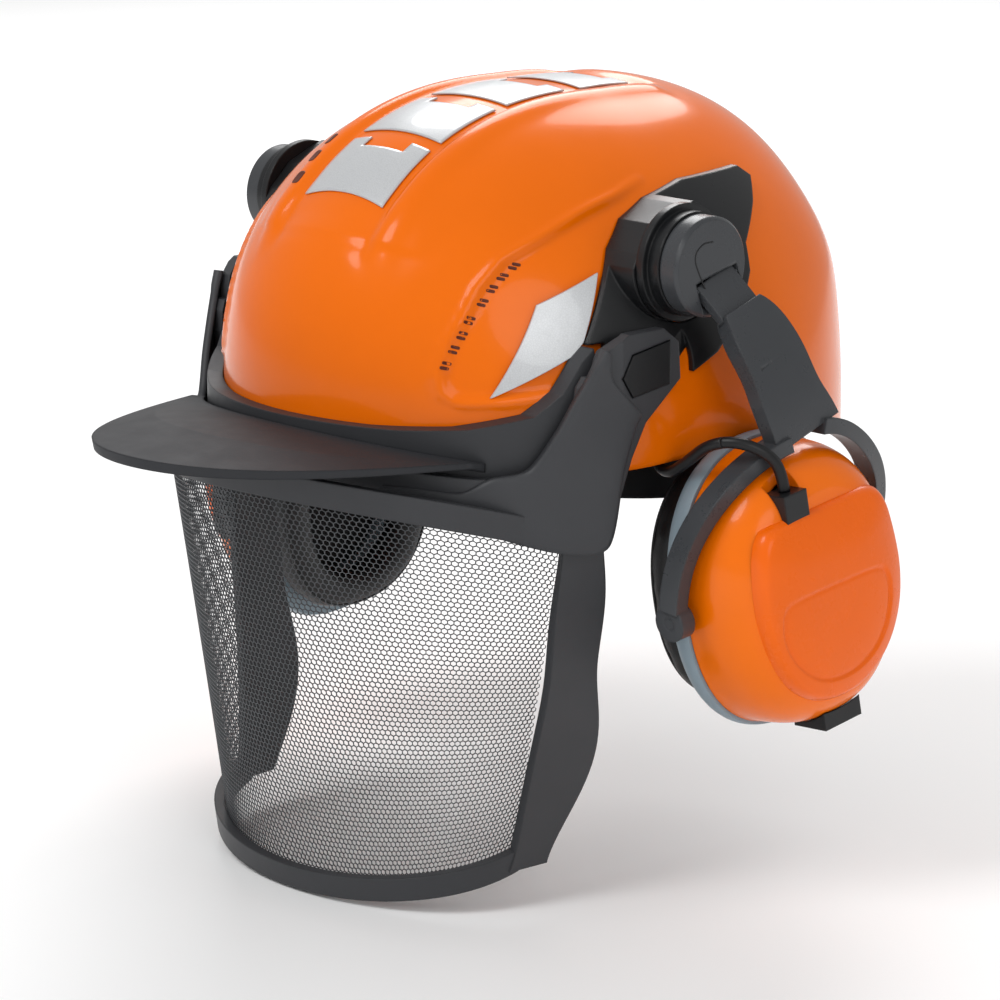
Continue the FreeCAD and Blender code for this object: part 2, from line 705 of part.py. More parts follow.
def right_route():
    """The left route mirrored, its cup end moved with the right ear defender."""
    moved = SLIDE_AXIS * RIGHT_SLIDE
    route = []
    for index, (x, y, z) in enumerate(CABLE_ROUTE):
        share = max(0.0, min(1.0, (7 - index) / 4))
        route.append((-(x + moved.x * share), y + moved.y * share, z + moved.z * share))
    return route


def rear_route():
    """Cable round the inside of the shell, behind the head, from left to right."""
    left = [REAR_JOINT, V(REAR_JOINT.x, 16, REAR_JOINT.z)]
    middle = [plan_point(theta, CABLE_INSET, 9) for theta in span(118, 242, 9)]
    right = [V(-p.x, p.y, p.z) for p in reversed(left)]
    return left + middle + right


def make_cable_clips():
    """Four saddle clips that hold the cable on the shell's inner face."""
    inside = dome(-SHELL_WALL - 0.2)
    route = rear_route()
    clips = []
    for index in (2, 4, 7, 9):
        at = (route[index] + route[index + 1]) * 0.5
        along = (route[index + 1] - route[index]).normalize()
        out = along.cross(V(0, 0, 1))
        near, far, half = at - out * 4, at + out * 30, along * 3
        corners = [near - half, near + half, far + half, far - half]
        block = Part.Face(polygon([V(p.x, p.y, at.z - 3.8) for p in corners])).extrude(V(0, 0, 7.6))
        bore = Part.makeCylinder(CABLE_R + 0.1, 20, at - along * 10, along)
        clips.append(block.common(inside).cut(bore).Solids[0])
    return Part.makeCompound(clips)


# --------------------------------------------------------------------- build
def save_pair(name, shape):
    save(name + "_left", shape)
    save(name + "_right", mirrored(shape))


def save_helmet():
    save("shell", make_shell())
    save("rim_band", make_rim_band())
    save_pair("side_bracket", make_bracket())
    save_pair("visor_pivot", make_pivot())
    save("reflector_crown", make_crown_reflectors())
    save_pair("reflector", make_side_reflector())


def save_visor():
    save("visor_frame", make_visor_frame())
    save_pair("visor_button", make_button())
    save("visor_peak", make_peak())
    save("mesh_frame", make_mesh_frame())
    save("visor_mesh", make_mesh())


def save_ears():
    save_pair("hub_ring", make_hub_ring())
    save_pair("hub_cap", make_hub_cap())
    save_pair("swing_pin", make_swing_pin())
    save_pair("swing_link", make_swing_link())
    arm = make_arm()
    save("ear_arm_left", arm)
    save("ear_arm_right", slide_right(arm))
    cup_nodes = make_cup_nodes()
    for name, shape in cup_nodes.items():
        save(name + "_right", slide_right(shape))
    cup_nodes["cup_shell"] = one(cup_nodes["cup_shell"].cut(cup_place(socket(4.0))))
    for name, shape in cup_nodes.items():
        save(name + "_left", shape)
    save("control_panel", cup_place(make_control_panel()))
    save("power_button", cup_place(make_power_button()))
    save("circuit_board", cup_place(make_circuit_board()))
    save("battery", cup_place(make_battery()))


def save_suspension():
    save("headband", make_headband())
    save("sweatband", make_sweatband())
    save("rear_strap_left", make_rear_strap(1))
    save("rear_strap_right", make_rear_strap(-1))
    save("ratchet_housing", make_ratchet_housing())
    save("ratchet_knob", make_knob())
    save("ratchet_pinion", make_pinion())
    save("nape_pad", make_nape_pad())
    save("crown_straps", make_crown_straps())
    save("crown_pad", make_crown_pad())
    save("harness_clips", make_harness_clips())


def save_cables():
    save("cable_left", tube(CABLE_ROUTE, CABLE_R))
    save("cable_right", tube(right_route(), CABLE_R))
    save("cable_rear", tube(rear_route(), CABLE_R))
    save("cable_clips", make_cable_clips())


save_helmet()
save_visor()
save_ears()
save_suspension()
save_cables()
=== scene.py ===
import bpy
import bmesh
import json
import math
import numpy as np
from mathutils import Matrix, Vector, noise


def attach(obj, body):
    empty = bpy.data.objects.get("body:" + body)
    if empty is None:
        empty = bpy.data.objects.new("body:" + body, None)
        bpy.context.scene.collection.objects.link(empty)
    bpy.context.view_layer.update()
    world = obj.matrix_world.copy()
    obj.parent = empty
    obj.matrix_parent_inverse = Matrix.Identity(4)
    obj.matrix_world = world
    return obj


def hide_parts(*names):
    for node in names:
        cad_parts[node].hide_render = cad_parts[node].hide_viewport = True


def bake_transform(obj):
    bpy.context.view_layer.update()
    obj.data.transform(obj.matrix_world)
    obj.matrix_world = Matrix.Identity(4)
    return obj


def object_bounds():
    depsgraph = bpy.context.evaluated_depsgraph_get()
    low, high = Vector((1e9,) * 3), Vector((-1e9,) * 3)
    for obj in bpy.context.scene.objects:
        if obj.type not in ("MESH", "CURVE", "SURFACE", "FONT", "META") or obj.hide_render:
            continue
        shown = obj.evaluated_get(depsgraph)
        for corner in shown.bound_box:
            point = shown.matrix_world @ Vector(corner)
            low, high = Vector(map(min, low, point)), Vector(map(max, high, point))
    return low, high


# Forestry helmet: the looks round the CAD frame. Shapes are worked out in
# millimetres and turned into metres where a mesh is made.
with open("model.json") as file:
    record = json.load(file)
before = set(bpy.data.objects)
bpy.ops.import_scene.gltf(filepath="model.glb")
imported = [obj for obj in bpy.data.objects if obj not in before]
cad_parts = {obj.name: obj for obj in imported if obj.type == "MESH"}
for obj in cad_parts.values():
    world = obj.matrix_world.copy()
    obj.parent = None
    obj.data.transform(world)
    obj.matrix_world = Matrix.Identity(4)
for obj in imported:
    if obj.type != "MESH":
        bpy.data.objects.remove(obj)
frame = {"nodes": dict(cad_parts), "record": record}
CAD_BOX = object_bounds()
NODES = frame["nodes"]
MM = 0.001
SIDES = (("left", 1), ("right", -1))

# ------------------------------------------------------------------- camera
TARGET = Vector((0, 0, -0.01045))
AZIMUTH = math.radians(46)
ELEVATION = math.radians(13)
DISTANCE = 1.567
LENS = 142.2
SHIFT = (-0.036, -0.060)
BACK = Vector((math.sin(AZIMUTH) * math.cos(ELEVATION),
               -math.cos(AZIMUTH) * math.cos(ELEVATION),
               math.sin(ELEVATION)))


def add_camera():
    data = bpy.data.cameras.new("camera")
    data.sensor_width = 36
    data.lens = LENS
    data.shift_x, data.shift_y = SHIFT
    data.clip_end = 20
    camera = bpy.data.objects.new("camera", data)
    bpy.context.collection.objects.link(camera)
    camera.location = TARGET + BACK * DISTANCE
    camera.rotation_euler = BACK.to_track_quat("Z", "Y").to_euler()
    bpy.context.scene.camera = camera


# ---------------------------------------------------------------- materials
def new_material(name):
    material = bpy.data.materials.new(name)
    material.use_nodes = True
    tree = material.node_tree
    shader = tree.nodes["Principled BSDF"]
    return material, tree, shader


def node(tree, kind, values=None, **settings):
    made = tree.nodes.new(kind)
    for key, value in settings.items():
        setattr(made, key, value)
    for key, value in (values or {}).items():
        made.inputs[key].default_value = value
    return made


def ramp(tree, source, stops):
    made = tree.nodes.new("ShaderNodeValToRGB")
    while len(made.color_ramp.elements) < len(stops):
        made.color_ramp.elements.new(0.5)
    for element, (position, color) in zip(made.color_ramp.elements, stops):
        element.position = position
        element.color = (*color, 1) if len(color) == 3 else color
    tree.links.new(source, made.inputs[0])
    return made.outputs[0]


def shade(color, factor):
    return tuple(min(1.0, c * factor) for c in color)


def rgb(code):
    parts = [int(code[i:i + 2], 16) / 255 for i in (0, 2, 4)]
    return tuple(((c + 0.055) / 1.055) ** 2.4 if c > 0.04045 else c / 12.92 for c in parts)


def object_coords(tree):
    return tree.nodes.new("ShaderNodeTexCoord").outputs["Object"]


def base_color(tree, shader, color, spread, scale, wear=0.0):
    """Cloudy colour variation, with paler worn edges."""
    cloud = node(tree, "ShaderNodeTexNoise", {"Scale": scale, "Detail": 5, "Roughness": 0.6})
    tree.links.new(object_coords(tree), cloud.inputs["Vector"])
    stops = [(0.3, shade(color, 1 - spread)), (0.7, shade(color, 1 + spread))]
    out = ramp(tree, cloud.outputs["Fac"], stops)
    if wear:
        geometry = tree.nodes.new("ShaderNodeNewGeometry")
        worn = [(0.52, (0, 0, 0)), (0.62, (wear, wear, wear))]
        mask = ramp(tree, geometry.outputs["Pointiness"], worn)
        mix = node(tree, "ShaderNodeMix", data_type="RGBA")
        tree.links.new(mask, mix.inputs[0])
        tree.links.new(out, mix.inputs[6])
        mix.inputs[7].default_value = (*shade(tuple(c + 0.04 for c in color), 1.7), 1)
        out = mix.outputs[2]
    tree.links.new(out, shader.inputs["Base Color"])


def rough_range(tree, shader, low, high, scale):
    cloud = node(tree, "ShaderNodeTexNoise", {"Scale": scale, "Detail": 6, "Roughness": 0.7})
    tree.links.new(object_coords(tree), cloud.inputs["Vector"])
    limits = {"From Min": 0.3, "From Max": 0.7, "To Min": low, "To Max": high}
    spread = node(tree, "ShaderNodeMapRange", limits)
    tree.links.new(cloud.outputs["Fac"], spread.inputs["Value"])
    tree.links.new(spread.outputs[0], shader.inputs["Roughness"])


def bump(tree, shader, height, strength, distance, edge=0.0):
    made = node(tree, "ShaderNodeBump", {"Strength": strength, "Distance": distance})
    tree.links.new(height, made.inputs["Height"])
    if edge:
        rounded = node(tree, "ShaderNodeBevel", {"Radius": edge}, samples=4)
        tree.links.new(rounded.outputs[0], made.inputs["Normal"])
    tree.links.new(made.outputs[0], shader.inputs["Normal"])


def plastic(name, color, rough=(0.3, 0.4), grain=1600, strength=0.12, edge=0.0007, wear=0.0,
            coat=0.0, spread=0.05, gloss=0.35):
    """Moulded plastic: fine grain, soft edges, cloudy colour."""
    material, tree, shader = new_material(name)
    base_color(tree, shader, rgb(color), spread, 14, wear)
    rough_range(tree, shader, rough[0], rough[1], 60)
    texture = node(tree, "ShaderNodeTexNoise", {"Scale": grain, "Detail": 3, "Roughness": 0.6})
    tree.links.new(object_coords(tree), texture.inputs["Vector"])
    bump(tree, shader, texture.outputs["Fac"], strength, 0.0002, edge)
    shader.inputs["Specular IOR Level"].default_value = gloss
    shader.inputs["Coat Weight"].default_value = coat
    shader.inputs["Coat Roughness"].default_value = 0.06
    return material


def leather(name, color):
    material, tree, shader = new_material(name)
    base_color(tree, shader, rgb(color), 0.2, 30)
    rough_range(tree, shader, 0.42, 0.58, 90)
    cells = node(tree, "ShaderNodeTexVoronoi", {"Scale": 900}, feature="DISTANCE_TO_EDGE")
    tree.links.new(object_coords(tree), cells.inputs["Vector"])
    bump(tree, shader, cells.outputs["Distance"], 0.35, 0.0003)
    return material


def fabric(name, color, pitch, strength=0.6, sheen=0.4):
    """Woven cloth from two crossed waves, its colour darker in the hollows of the weave and paler on its
    crests: painted shade and painted highlight.
    """
    material, tree, shader = new_material(name)
    coords = object_coords(tree)
    heights = []
    for axis in ("X", "Z"):
        wave = node(tree, "ShaderNodeTexWave", {"Scale": 0.314 / pitch, "Distortion": 0.6, "Detail": 1},
                    bands_direction=axis)
        tree.links.new(coords, wave.inputs["Vector"])
        heights.append(wave.outputs["Fac"])
    weave = node(tree, "ShaderNodeMath", operation="MAXIMUM")
    tree.links.new(heights[0], weave.inputs[0])
    tree.links.new(heights[1], weave.inputs[1])
    tint = rgb(color)
    # painted shade in the hollows of the weave and painted highlight on its crests, following the bump
    # height
    out = ramp(tree, weave.outputs[0], [(0.2, shade(tint, 0.6)), (0.9, shade(tint, 1.25))])
    tree.links.new(out, shader.inputs["Base Color"])
    rough_range(tree, shader, 0.8, 0.95, 50)
    bump(tree, shader, weave.outputs[0], strength, 0.0004)
    shader.inputs["Sheen Weight"].default_value = sheen
    return material


def foam(name, color):
    material, tree, shader = new_material(name)
    cells = node(tree, "ShaderNodeTexVoronoi", {"Scale": 700})
    tree.links.new(object_coords(tree), cells.inputs["Vector"])
    tint = rgb(color)
    # painted shade: colour darker in the pits of the cells and paler on their rims, following the bump
    # height
    out = ramp(tree, cells.outputs["Distance"], [(0.1, shade(tint, 0.5)), (0.7, shade(tint, 1.3))])
    tree.links.new(out, shader.inputs["Base Color"])
    rough_range(tree, shader, 0.88, 0.98, 40)
    bump(tree, shader, cells.outputs["Distance"], 0.9, 0.0008)
    return material


def metal(name, color, rough=(0.3, 0.45), grain=900, metallic=0.85):
    material, tree, shader = new_material(name)
    base_color(tree, shader, rgb(color), 0.12, 60)
    rough_range(tree, shader, rough[0], rough[1], 120)
    texture = node(tree, "ShaderNodeTexNoise", {"Scale": grain, "Detail": 2})
    tree.links.new(object_coords(tree), texture.inputs["Vector"])
    bump(tree, shader, texture.outputs["Fac"], 0.15, 0.0001, 0.0002)
    shader.inputs["Metallic"].default_value = metallic
    return material


def reflective(name, color):
    """Retroreflective film: tiny cells under a clear face."""
    material, tree, shader = new_material(name)
    cells = node(tree, "ShaderNodeTexVoronoi", {"Scale": 1100}, feature="DISTANCE_TO_EDGE")
    tree.links.new(object_coords(tree), cells.inputs["Vector"])
    tint = rgb(color)
    out = ramp(tree, cells.outputs["Distance"], [(0.02, shade(tint, 0.9)), (0.14, tint)])
    tree.links.new(out, shader.inputs["Base Color"])
    rough_range(tree, shader, 0.28, 0.4, 200)
    bump(tree, shader, cells.outputs["Distance"], 0.2, 0.0002, 0.0003)
    shader.inputs["Metallic"].default_value = 0.25
    shader.inputs["Coat Weight"].default_value = 0.5
    return material


def make_materials():
    return {
        "shell_orange": plastic("shell_orange", "EC6C00", (0.16, 0.24), 300, 0.03, 0.0012, 0.0,
                                0.2, 0.03, 0.12),
        "cup_orange": plastic("cup_orange", "F27000", (0.2, 0.28), 400, 0.04, 0.001, 0.0, 0.25,
                              0.03, 0.15),
        "cover_orange": plastic("cover_orange", "F06606", (0.24, 0.32), 500, 0.06, 0.001, 0.0,
                                0.2, 0.04, 0.15),
        # painted shade: a dark reddish-brown for the shade inside the shell's vent slots
        "vent_painted_shade": plastic("vent_painted_shade", "5A2208", (0.5, 0.6), 900, 0.1, 0.0002),
        "band_grey": plastic("band_grey", "303134", (0.42, 0.52), 1500, 0.15),
        "visor_grey": plastic("visor_grey", "37383B", (0.42, 0.52), 1500, 0.2, 0.0012, spread=0.03),
        "peak_grey": plastic("peak_grey", "303134", (0.6, 0.68), 1300, 0.2, 0.0012, spread=0.03,
                             gloss=0.22),
        "bracket_black": plastic("bracket_black", "131416", (0.26, 0.36), 1500, 0.12, 0.001, 0.05),
        "arm_black": plastic("arm_black", "3A3C3F", (0.24, 0.34), 1500, 0.12, 0.001, 0.05),
        "button_black": plastic("button_black", "141517", (0.35, 0.45), 1500, 0.15),
        "reflective_silver": reflective("reflective_silver", "C6C8CA"),
        "mesh_metal": metal("mesh_metal", "4A4C4F", (0.45, 0.6), 900, 0.35),
        "ring_grey": plastic("ring_grey", "8797A1", (0.35, 0.45), 1200, 0.1),
        "cushion_black": leather("cushion_black", "0E0E10"),
        "foam_grey": foam("foam_grey", "0C0C0E"),
        "speaker_black": plastic("speaker_black", "17181A", (0.4, 0.5)),
        "pin_steel": metal("pin_steel", "A9ADB1", (0.22, 0.35)),
        "harness_black": plastic("harness_black", "1D1E20", (0.38, 0.5), 1400, 0.15),
        "sweatband_fabric": fabric("sweatband_fabric", "232428", 0.0011),
        "strap_webbing": fabric("strap_webbing", "2C2D32", 0.0016, 0.9),
        "cable_black": plastic("cable_black", "101012", (0.36, 0.46), 1800, 0.1, 0.0002),
        "board_green": plastic("board_green", "1F5B36", (0.3, 0.4), 900),
        "battery_silver": metal("battery_silver", "8C8F94"),
    }


# ------------------------------------------------------------ mesh building
def to_object(name, verts, faces, smooth=True):
    mesh = bpy.data.meshes.new(name)
    mesh.from_pydata([tuple(float(c) * MM for c in v) for v in verts], [], faces)
    mesh.validate()
    work = bmesh.new()
    work.from_mesh(mesh)
    bmesh.ops.recalc_face_normals(work, faces=work.faces)
    work.to_mesh(mesh)
    work.free()
    for polygon in mesh.polygons:
        polygon.use_smooth = smooth
    made = bpy.data.objects.new(name, mesh)
    bpy.context.collection.objects.link(made)
    return made


def grid(rows, loop_rows=False, loop_columns=False):
    """Vertices and faces of a grid of rows of points."""
    count, width = len(rows), len(rows[0])
    verts = [p for row in rows for p in row]
    faces = []
    for i in range(count if loop_rows else count - 1):
        for j in range(width if loop_columns else width - 1):
            a, b = i, (i + 1) % count
            c, d = j, (j + 1) % width
            faces.append((a * width + c, a * width + d, b * width + d, b * width + c))
    return verts, faces


def with_material(piece, name):
    piece.data.materials.clear()
    piece.data.materials.append(MATERIALS[name])
    return piece


def modifier(piece, kind, **settings):
    made = piece.modifiers.new(kind.lower(), kind)
    for key, value in settings.items():
        setattr(made, key, value)
    return made


def turns(count):
    """Angles that share out one full turn."""
    return np.linspace(0, 2 * math.pi, count, endpoint=False)


def unit(vector):
    return vector / np.linalg.norm(vector)


def close_ends(verts, faces, width):
    """Adds a face over each open end of a tube made of rows."""
    faces.append(tuple(range(width)))
    faces.append(tuple(len(verts) - width + i for i in range(width)))


def power(value, exponent):
    """Power of a signed value, sign kept."""
    return math.copysign(abs(value) ** exponent, value)


# ----------------------------------------------------------- shell surfaces
HALF_WIDTH, FRONT, REAR, CENTRE_Y, CROWN = 113.0, 132.0, 126.0, 2.2, 135.0
WALL = 3
RIM_PROFILE = [(-150, 12), (-100, 11), (-62, 3.5), (-30, 5.5), (0, 10), (30, 8), (68, -2), (105, -8),
               (150, -9)]
RIB = [(75.7, -20.2, 105.2), (77.3, -34.4, 100.7), (76, -50.6, 96.2), (72.8, -69.5, 88.3),
       (67.5, -83.8, 81.4), (65, -93.4, 71.7), (63.8, -99.5, 61.7), (61, -105.3, 51.5),
       (60.1, -108.3, 40.2), (62.3, -107.3, 34.2), (67.6, -103.2, 31.2), (77.4, -93.4, 31.7),
       (89.1, -77.9, 33.4)]


def smooth_step(low, high, value):
    t = np.clip((value - low) / (high - low), 0, 1)
    return t * t * (3 - 2 * t)


def rim_height(y):
    """Smooth curve through the rim profile."""
    ys = np.array([p[0] for p in RIM_PROFILE], float)
    zs = np.array([p[1] for p in RIM_PROFILE], float)
    slopes = np.gradient(zs, ys)
    i = np.clip(np.searchsorted(ys, y) - 1, 0, len(ys) - 2)
    h = ys[i + 1] - ys[i]
    t = (y - ys[i]) / h
    return ((2 * t ** 3 - 3 * t ** 2 + 1) * zs[i] + (t ** 3 - 2 * t ** 2 + t) * h * slopes[i]
            + (3 * t ** 2 - 2 * t ** 3) * zs[i + 1] + (t ** 3 - t ** 2) * h * slopes[i + 1])


def plan_radius(theta, offset):
    length = np.where(np.cos(theta) > 0, FRONT, REAR)
    return ((np.sin(theta) / HALF_WIDTH) ** 2 + (np.cos(theta) / length) ** 2) ** -0.5 + offset


def dome_power(theta):
    end = np.where(np.cos(theta) > 0, 2.37, 2.73)
    return end * np.cos(theta) ** 2 + 2.12 * np.sin(theta) ** 2


def dome(theta, z, offset=0.0):
    spring = 10.5 + 10.5 * np.cos(theta)
    power = dome_power(theta)
    rise = np.clip((z - spring) / (CROWN + offset - spring), 0, 1)
    shrink = (1 - rise ** power) ** (1 / power)
    radius = plan_radius(theta, offset) * shrink
    return np.stack([radius * np.sin(theta), CENTRE_Y - radius * np.cos(theta), z + 0 * theta], -1)


def dome_over(x, y, offset=0.0):
    """Height of the dome above a point of the plan."""
    theta = np.arctan2(x, CENTRE_Y - y)
    spring = 10.5 + 10.5 * np.cos(theta)
    power = dome_power(theta)
    share = np.clip(np.hypot(x, y - CENTRE_Y) / plan_radius(theta, offset), 0, 1)
    return spring + (1 - share ** power) ** (1 / power) * (CROWN + offset - spring)


def line_distance(points, line):
    best = np.full(points.shape[:-1], 1e9)
    for a, b in zip(line, line[1:]):
        a, b = np.array(a, float), np.array(b, float)
        t = np.clip(((points - a) @ (b - a)) / ((b - a) @ (b - a)), 0, 1)
        best = np.minimum(best, np.linalg.norm(points - (a + t[..., None] * (b - a)), axis=-1))
    return best


def relief(points):
    """How far the moulded detail stands off the plain dome."""
    x, y, z = points[..., 0], points[..., 1], points[..., 2]
    along = smooth_step(-116, -106, y) * (1 - smooth_step(30, 42, y)) * smooth_step(60, 76, z)
    width = np.abs(x)
    channel = -2.4 * (1 - smooth_step(24.0, 28.0, width)) + 1.3 * np.exp(-((width - 32) / 5.0) ** 2)
    out = channel * along
    mirrored_points = np.stack([width, y, z], -1)
    fade = 1 - smooth_step(-45, -18, y)
    out = out + 1.3 * (1 - smooth_step(0.6, 3.2, line_distance(mirrored_points, RIB))) * (0.35 + 0.65 * fade)
    line = np.array(RIB[:9][::-1])
    behind = y - np.interp(z, line[:, 2], line[:, 1])
    pocket = smooth_step(0.5, 3.5, behind) * smooth_step(30, 34, z) * (1 - smooth_step(98, 106, z))
    pocket = pocket * (width > 50)
    out = out - 1.1 * pocket * fade
    theta = np.degrees(np.arctan2(width, CENTRE_Y - y))
    out = out + 2.2 * np.exp(-((theta - 138) / 16) ** 2) * np.exp(-((z - 66) / 22) ** 2)
    brow = 87 - 0.0022 * x ** 2
    step = smooth_step(brow - 1.5, brow + 1.5, z) * (1 - smooth_step(40, 50, width)) * (y < -60)
    return out + 0.7 * step * (1 - smooth_step(brow + 6, brow + 20, z))


def normals_of(points):
    du = np.roll(points, -1, 1) - np.roll(points, 1, 1)
    dv = np.gradient(points, axis=0)
    n = np.cross(du, dv)
    length = np.linalg.norm(n, axis=-1, keepdims=True)
    n = n / np.maximum(length, 1e-9)
    centre = points - np.array([0, CENTRE_Y, 0])
    flip = np.sign(np.sum(n * centre, -1, keepdims=True))
    return n * np.where(flip == 0, 1, flip)


def shell_rows(offset, columns, rows, detail):
    theta = np.linspace(0, 2 * np.pi, columns, endpoint=False)
    edge = dome(theta, np.full(columns, -20.0), offset)
    rim = rim_height(edge[:, 1])
    share = np.sin(np.linspace(0, 1, rows) ** 0.92 * math.pi / 2)
    result = []
    for t in share[:-1]:
        z = rim + (CROWN + offset - rim) * t
        result.append(dome(theta, z, offset))
    points = np.stack(result)
    if detail:
        points = points + normals_of(points) * relief(points)[..., None]
    return points


def make_shell():
    columns = 360
    outer = shell_rows(0, columns, 150, True)
    inner = shell_rows(-WALL, columns, 50, False)[::-1]
    lip = [outer[0] + (inner[-1] - outer[0]) * share + np.array([0, 0, drop])
           for share, drop in ((0.86, -0.1), (0.5, -0.45), (0.14, -0.1))]
    rows = list(inner) + lip + list(outer)
    verts, faces = grid([list(r) for r in rows], False, True)
    for ring, top in ((0, CROWN - WALL), (len(rows) - 1, CROWN - 2.4)):
        pole = len(verts)
        verts.append((0, CENTRE_Y, top))
        start = ring * columns
        faces += [(start + j, start + (j + 1) % columns, pole) for j in range(columns)]
    piece = with_material(to_object("shell_skin", verts, faces), "shell_orange")
    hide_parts("shell")
    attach(piece, "shell")


def surface_point(x, y, lift):
    """Point on the detailed crown, lift above it."""
    def height(px, py):
        return float(dome_over(np.array(float(px)), np.array(float(py))))

    p = np.array([x, y, height(x, y)])
    step = 0.5
    dx = (height(x + step, y) - height(x - step, y)) / (2 * step)
    dy = (height(x, y + step) - height(x, y - step)) / (2 * step)
    return p + unit(np.array([-dx, -dy, 1.0])) * (float(relief(p[None])[0]) + lift)


def make_crown_patches():
    """Reflective patches in the crown channel, each with a notch in its rear edge."""
    spans = [(-101, -76, 22, 21.5), (-71, -42, 22, 21.5), (-36, -5, 21.5, 21), (4, 31, 21, 20)]
    for index, (y0, y1, half0, half1) in enumerate(spans):
        count = 30
        rows = []
        for i in range(count + 1):
            t = i / count
            half = half0 + (half1 - half0) * t
            y = y0 + (y1 - y0) * t
            rows.append([surface_point(half * (2 * j / count - 1), y, 0.25) for j in range(count + 1)])
        verts, faces = grid(rows)
        notch = 1 - 5 / (y1 - y0)
        keep = []
        for k, face in enumerate(faces):
            i, j = divmod(k, count)
            across = abs(2 * (j + 0.5) / count - 1)
            if (i + 0.5) / count > notch and across < 0.55:
                continue
            keep.append(face)
        piece = to_object("crown_patch_%d" % (index + 1), verts, keep)
        modifier(piece, "SOLIDIFY", thickness=0.0006, offset=1)
        with_material(piece, "reflective_silver")
        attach(piece, "shell")
    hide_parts("reflector_crown")


def skin_frame(theta, z):
    """Point of the plain dome and its outward normal there."""
    base = dome(np.array(theta), np.array(z))
    around = dome(np.array(theta + 0.01), np.array(z)) - base
    up = dome(np.array(theta), np.array(z + 0.5)) - base
    normal = np.cross(around, up)
    normal *= np.sign(np.dot(normal, base - np.array([0, CENTRE_Y, 0])))
    return base, unit(normal)


def slot_mesh(centre, along, length, width):
    """Slot drawn as a dark patch of painted shade that follows the moulded surface, its edge turned under.
    """
    centre = np.array(centre, float)
    base, normal = skin_frame(math.atan2(centre[0], CENTRE_Y - centre[1]), centre[2])
    along = unit(np.array(along, float) - normal * np.dot(along, normal))
    across = np.cross(normal, along)
    rows = []
    for scale, lift in ((1.0, -0.3), (0.94, 0.22), (0.8, 0.24), (0.66, 0.1), (0.02, 0.1)):
        row = []
        for i in range(20):
            a = 2 * math.pi * i / 20
            p = (base + along * length / 2 * scale * power(math.cos(a), 0.5)
                 + across * width / 2 * scale * power(math.sin(a), 0.5))
            spot, out = skin_frame(math.atan2(p[0], CENTRE_Y - p[1]), p[2])
            row.append(spot + out * (float(relief(spot[None])[0]) + lift))
        rows.append(row)
    return grid(rows, False, True)


SMALL_SLOTS = [(62.3, -105.9, 44.6), (63.9, -103.3, 50.4), (65.3, -100.5, 55.5), (66.3, -97.6, 60.9),
               (68.1, -92.8, 67.2), (69.1, -88.9, 72.0), (70.3, -84.8, 76.1), (71.7, -80.1, 79.7)]
LARGE_SLOTS = [(-30.6, -94.5, 101.2), (-31.6, -84.7, 108.2), (-32.4, -76.2, 113.6)]


def make_vents():
    """Eight pairs of small slots in each side rib, three large slots by the channel, all drawn as patches of
    painted shade.
    """
    verts, faces = [], []

    def add(centre, along, length, width):
        more, loops = slot_mesh(centre, along, length, width)
        faces.extend([tuple(len(verts) + k for k in loop) for loop in loops])
        verts.extend(more)

    for side in (1, -1):
        line = [np.array([p[0] * side, p[1], p[2]]) for p in SMALL_SLOTS]
        for i, point in enumerate(line):
            run = unit(line[min(i + 1, len(line) - 1)] - line[max(i - 1, 0)])
            for shift in (-1.0, 1.0):
                add(point + run * shift, (0.55 * side, 0.8, -0.25), 3.4, 1.25)
    for point in LARGE_SLOTS:
        add(point, (0, 0.78, 0.6), 6.4, 4.4)
    # the slot patches carry painted shade, not a dark colour of the shell
    piece = with_material(to_object("vent_slots", verts, faces), "vent_painted_shade")
    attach(piece, "shell")


# --------------------------------------------------------------- mesh visor
MESH_HEIGHT = 146.0
MESH_PITCH = 2.1
HOLE_SHARE = 0.84
MESH_TUCK = 4


def mesh_top(phi):
    return np.array([94 * power(math.sin(phi), 1.2), -75 - 89 * power(math.cos(phi), 1.2),
                     -26 + 26 * math.cos(phi)])


def mesh_bottom(phi):
    return np.array([76.5 * math.sin(phi), -82 - 49 * math.cos(phi), -139 - 15 * math.cos(phi)])


def make_visor_mesh():
    """Sheet metal etched through with hexagonal holes."""
    phis = np.radians(np.linspace(-86.5, 86.5, 440))
    middles = np.array([(mesh_top(p) + mesh_bottom(p)) / 2 for p in phis])
    arc = np.concatenate([[0], np.cumsum(np.linalg.norm(np.diff(middles, axis=0), axis=1))])
    radius = MESH_PITCH / math.sqrt(3)
    hole = radius * HOLE_SHARE
    columns = int(arc[-1] / MESH_PITCH)
    step = radius * 1.5
    rows = int(MESH_HEIGHT / step)
    corners = [(math.sin(math.radians(60 * k)), math.cos(math.radians(60 * k))) for k in range(6)]

    def lift(s, t):
        phi = float(np.interp(s, arc, phis))
        low, high = mesh_bottom(phi), mesh_top(phi)
        direction = unit(high - low)
        low, high = low - direction * MESH_TUCK, high + direction * MESH_TUCK
        normal = np.array([math.sin(phi), -math.cos(phi), 0])
        return low + (high - low) * (t / MESH_HEIGHT) + normal * 0.15

    verts, faces, found = [], [], {}

    def vertex(s, t):
        key = (round(s, 2), round(t, 2))
        if key not in found:
            found[key] = len(verts)
            verts.append(lift(min(max(s, 0), arc[-1]), min(max(t, 0), MESH_HEIGHT)))
        return found[key]

    for j in range(rows):
        for i in range(columns):
            cx = (i + 0.5 + 0.5 * (j % 2)) * MESH_PITCH
            cy = (j + 0.6) * step
            outer = [vertex(cx + radius * u, cy + radius * v) for u, v in corners]
            inner = [vertex(cx + hole * u, cy + hole * v) for u, v in corners]
            faces += [(outer[k], outer[(k + 1) % 6], inner[(k + 1) % 6], inner[k]) for k in range(6)]
    faces = [f for f in faces if len(set(f)) == 4]
    piece = to_object("visor_mesh_sheet", verts, faces)
    modifier(piece, "SOLIDIFY", thickness=0.00035, offset=0)
    with_material(piece, "mesh_metal")
    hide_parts("visor_mesh")
    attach(piece, "visor")


